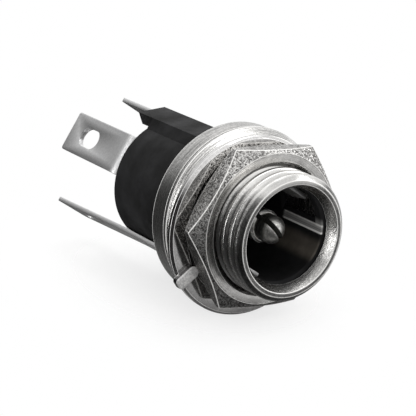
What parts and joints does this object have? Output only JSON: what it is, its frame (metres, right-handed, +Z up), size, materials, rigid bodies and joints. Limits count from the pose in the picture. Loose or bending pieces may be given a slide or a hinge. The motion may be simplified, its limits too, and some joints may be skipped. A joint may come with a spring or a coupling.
{
  "type": "dc barrel jack",
  "caption": "Threaded panel-mount DC power jack with a flange, hexagon nut, tab washer, black insulating body, split centre pin and flat solder lugs.",
  "frame": {"origin": "on the jack's axis, in the front face of the flange, which seats behind the panel", "axes": "-Y points out of the mouth, the way the plug leaves; +Y along the solder lugs; +Z up as the jack is shown; +X to the right seen from the mouth"},
  "size_m": [0.012, 0.0223, 0.0118],
  "materials": {
    "plated_shell": "bright nickel plate on brass, with a fine worn texture",
    "plated_washer": "bright nickel plate on stamped strip",
    "plated_nut": "nickel plate over turned and slightly pitted faces",
    "black_moulding": "matt moulded thermoset",
    "plated_pin": "nickel plate on turned brass",
    "tinned_strip": "satin tin plate on rolled brass strip, bright sheared edges"
  },
  "bodies": {
    "root": {"shell": "plated_shell", "tab_washer": "plated_washer", "hex_nut": "plated_nut", "body": "black_moulding", "centre_pin": "plated_pin", "centre_lug": "tinned_strip", "spring_contact": "tinned_strip", "sleeve_contact": "tinned_strip"}
  },
  "joints": []
}
